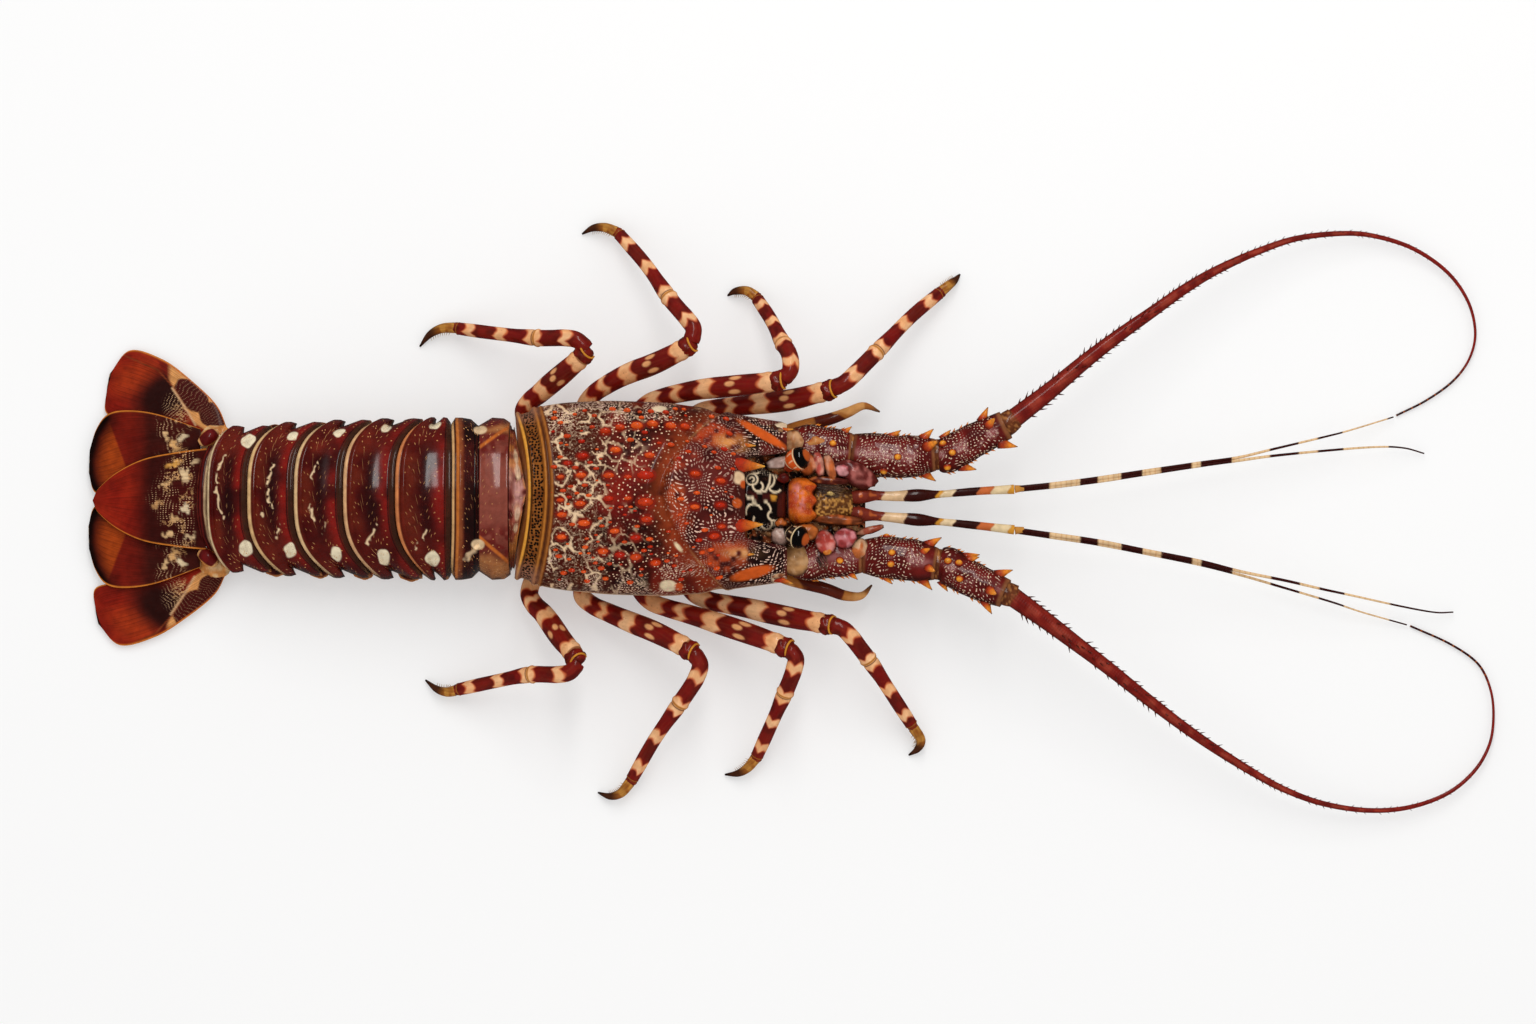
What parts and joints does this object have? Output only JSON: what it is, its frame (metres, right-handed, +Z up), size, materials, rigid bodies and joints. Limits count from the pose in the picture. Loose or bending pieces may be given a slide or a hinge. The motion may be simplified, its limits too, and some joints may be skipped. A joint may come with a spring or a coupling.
{
  "type": "spiny lobster",
  "caption": "Whole cooked spiny lobster lying belly down, tail fan spread, banded legs bent, long whip antennae curled round in front.",
  "frame": {"origin": "middle of the flat belly plate, on the surface the animal rests on", "axes": "+X along the body towards the head and the whips, +Y to the animal's left, +Z up from the resting surface"},
  "size_m": [0.5634, 0.2373, 0.0627],
  "materials": {
    "carapace_shell": "Glossy maroon-brown shell under a fine cream network and rows of cream dots, with red-orange knobs and golden rear ridges",
    "tail_shell": "Glossy dark maroon shell with cream-edged ridges, ivory oval spots, short cream dashes and dark purple-black patches",
    "tail_fan": "Satin red blades with fine radial lines, dark brown middles, cream lattice spots near the hinge and thin orange rims",
    "joint_skin": "Soft glossy skin in tan, orange and brown between the hard plates",
    "belly": "Pale tan underside with brown seams",
    "brow_shell": "Glossy black-brown plate with cream curled lines",
    "nose_plate": "Orange-red lobed plate with a pink centre",
    "eye": "Glossy black eye in orange, red and cream rings",
    "antenna_stalk": "Glossy maroon joints with rows of tiny cream dots and orange thorns with dark tips",
    "whip": "Glossy red-brown whip with fine dark spines, near black at the tip",
    "antennule": "Glossy bands of dark brown, cream and orange",
    "leg": "Glossy peach-cream with scalloped maroon bands and golden joint rings",
    "claw": "Golden-brown claw that darkens to its tip, with fine bristles"
  },
  "bodies": {
    "root": {"carapace": "carapace_shell", "belly_plate": "belly", "tail_segment_1": "tail_shell", "tail_segment_2": "tail_shell", "tail_segment_3": "tail_shell", "tail_segment_4": "tail_shell", "tail_segment_5": "tail_shell", "tail_segment_6": "tail_shell", "waist": "joint_skin", "telson": "tail_fan", "outer_blade_left": "tail_fan", "inner_blade_left": "tail_fan", "outer_blade_right": "tail_fan", "inner_blade_right": "tail_fan", "fan_knuckle_left": "joint_skin", "fan_knuckle_right": "joint_skin", "brow": "brow_shell", "nose_plate": "nose_plate", "bristle_plate": "joint_skin", "eye_left": "eye", "eye_right": "eye", "antenna_base_left": "antenna_stalk", "antenna_middle_left": "antenna_stalk", "antenna_end_left": "antenna_stalk", "antenna_base_right": "antenna_stalk", "antenna_middle_right": "antenna_stalk", "antenna_end_right": "antenna_stalk", "whip_left": "whip", "whip_right": "whip", "antennule_left": "antennule", "antennule_branches_left": "antennule", "antennule_right": "antennule", "antennule_branches_right": "antennule", "leg_left_1_thigh": "leg", "leg_left_1_shin": "leg", "leg_left_1_claw": "claw", "leg_left_2_thigh": "leg", "leg_left_2_shin": "leg", "leg_left_2_claw": "claw", "leg_left_3_thigh": "leg", "leg_left_3_shin": "leg", "leg_left_3_claw": "claw", "leg_left_4_thigh": "leg", "leg_left_4_shin": "leg", "leg_left_4_claw": "claw", "leg_right_1_thigh": "leg", "leg_right_1_shin": "leg", "leg_right_1_claw": "claw", "leg_right_2_thigh": "leg", "leg_right_2_shin": "leg", "leg_right_2_claw": "claw", "leg_right_3_thigh": "leg", "leg_right_3_shin": "leg", "leg_right_3_claw": "claw", "leg_right_4_thigh": "leg", "leg_right_4_shin": "leg", "leg_right_4_claw": "claw", "short_leg_left": "leg", "short_leg_right": "leg"}
  },
  "joints": []
}
